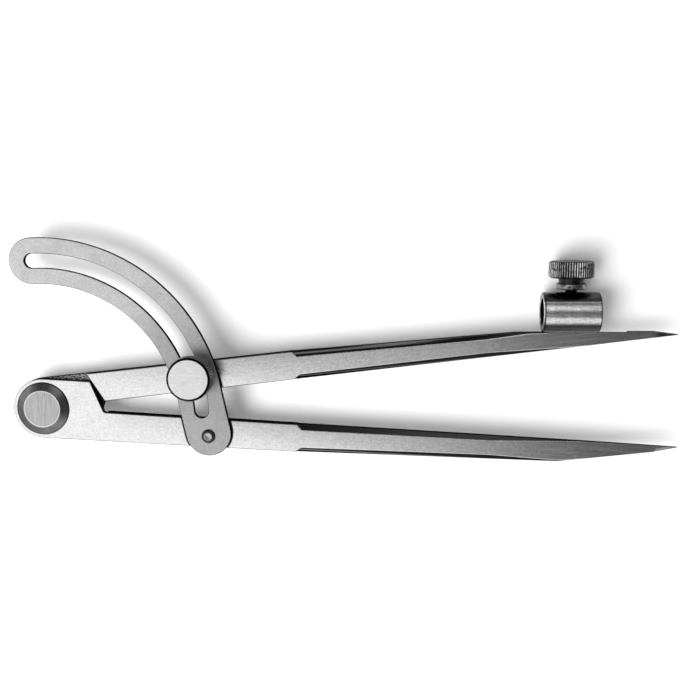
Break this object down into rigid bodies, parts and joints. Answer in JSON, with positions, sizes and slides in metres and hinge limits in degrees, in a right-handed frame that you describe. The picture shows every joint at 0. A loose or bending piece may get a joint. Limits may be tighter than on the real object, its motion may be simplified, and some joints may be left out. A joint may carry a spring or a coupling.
{
  "type": "wing compass",
  "caption": "Flat steel wing compass: halved pivot joint, slotted locking arc with a knurled clamp screw, and a pencil sleeve with its own screw.",
  "frame": {"origin": "middle of the compass's bounding box, at its lowest point, where the pencil screw's head touches the surface", "axes": "+X along leg A's inner edge from the pivot to the point, +Y towards the arc and the pencil sleeve, +Z square to the legs, out of the face with the arc"},
  "size_m": [0.2552, 0.0818, 0.023],
  "materials": {
    "leg_steel": "ground flat, fine brushing along the legs",
    "wing_steel": "satin, fine brushing along the arc",
    "turned_steel": "turned and faced",
    "blackened_steel": "blackened, worn bright on the knurl"
  },
  "bodies": {
    "leg_a": {"leg_a": "leg_steel", "pivot_rivet": "turned_steel", "pivot_washer": "turned_steel", "wing_rivet": "turned_steel"},
    "leg_b": {"leg_b": "leg_steel", "pencil_sleeve": "turned_steel"},
    "wing": {"wing": "wing_steel"},
    "wing_clamp_screw": {"wing_clamp_screw": "turned_steel"},
    "pencil_clamp_screw": {"pencil_clamp_screw": "blackened_steel"}
  },
  "joints": [
    {"name": "leg_hinge", "type": "hinge", "parent": "leg_a", "child": "leg_b", "pos_m": [-0.11485, -0.02685, 0.0084], "axis": [0, 0, 1], "range_deg": [-10, 73]},
    {"name": "wing_swivel", "type": "hinge", "parent": "leg_a", "child": "wing", "pos_m": [-0.04945, -0.03324, 0.01055], "axis": [0, 0, 1], "range_deg": [-4.6, 0.7]},
    {"name": "wing_screw_turn", "type": "hinge", "parent": "leg_b", "child": "wing_clamp_screw", "pos_m": [-0.05558, -0.00992, 0.01255], "axis": [0, 0, 1], "range_deg": [0, 720]},
    {"name": "pencil_screw_turn", "type": "hinge", "parent": "leg_b", "child": "pencil_clamp_screw", "pos_m": [0.08352, 0.0301, 0.0084], "axis": [-0.056, 0.9984, 0], "range_deg": [0, 720]}
  ],
  "couplings": [
    {"joint": "wing_swivel", "follows": "leg_hinge", "ratio": -0.0615}
  ]
}
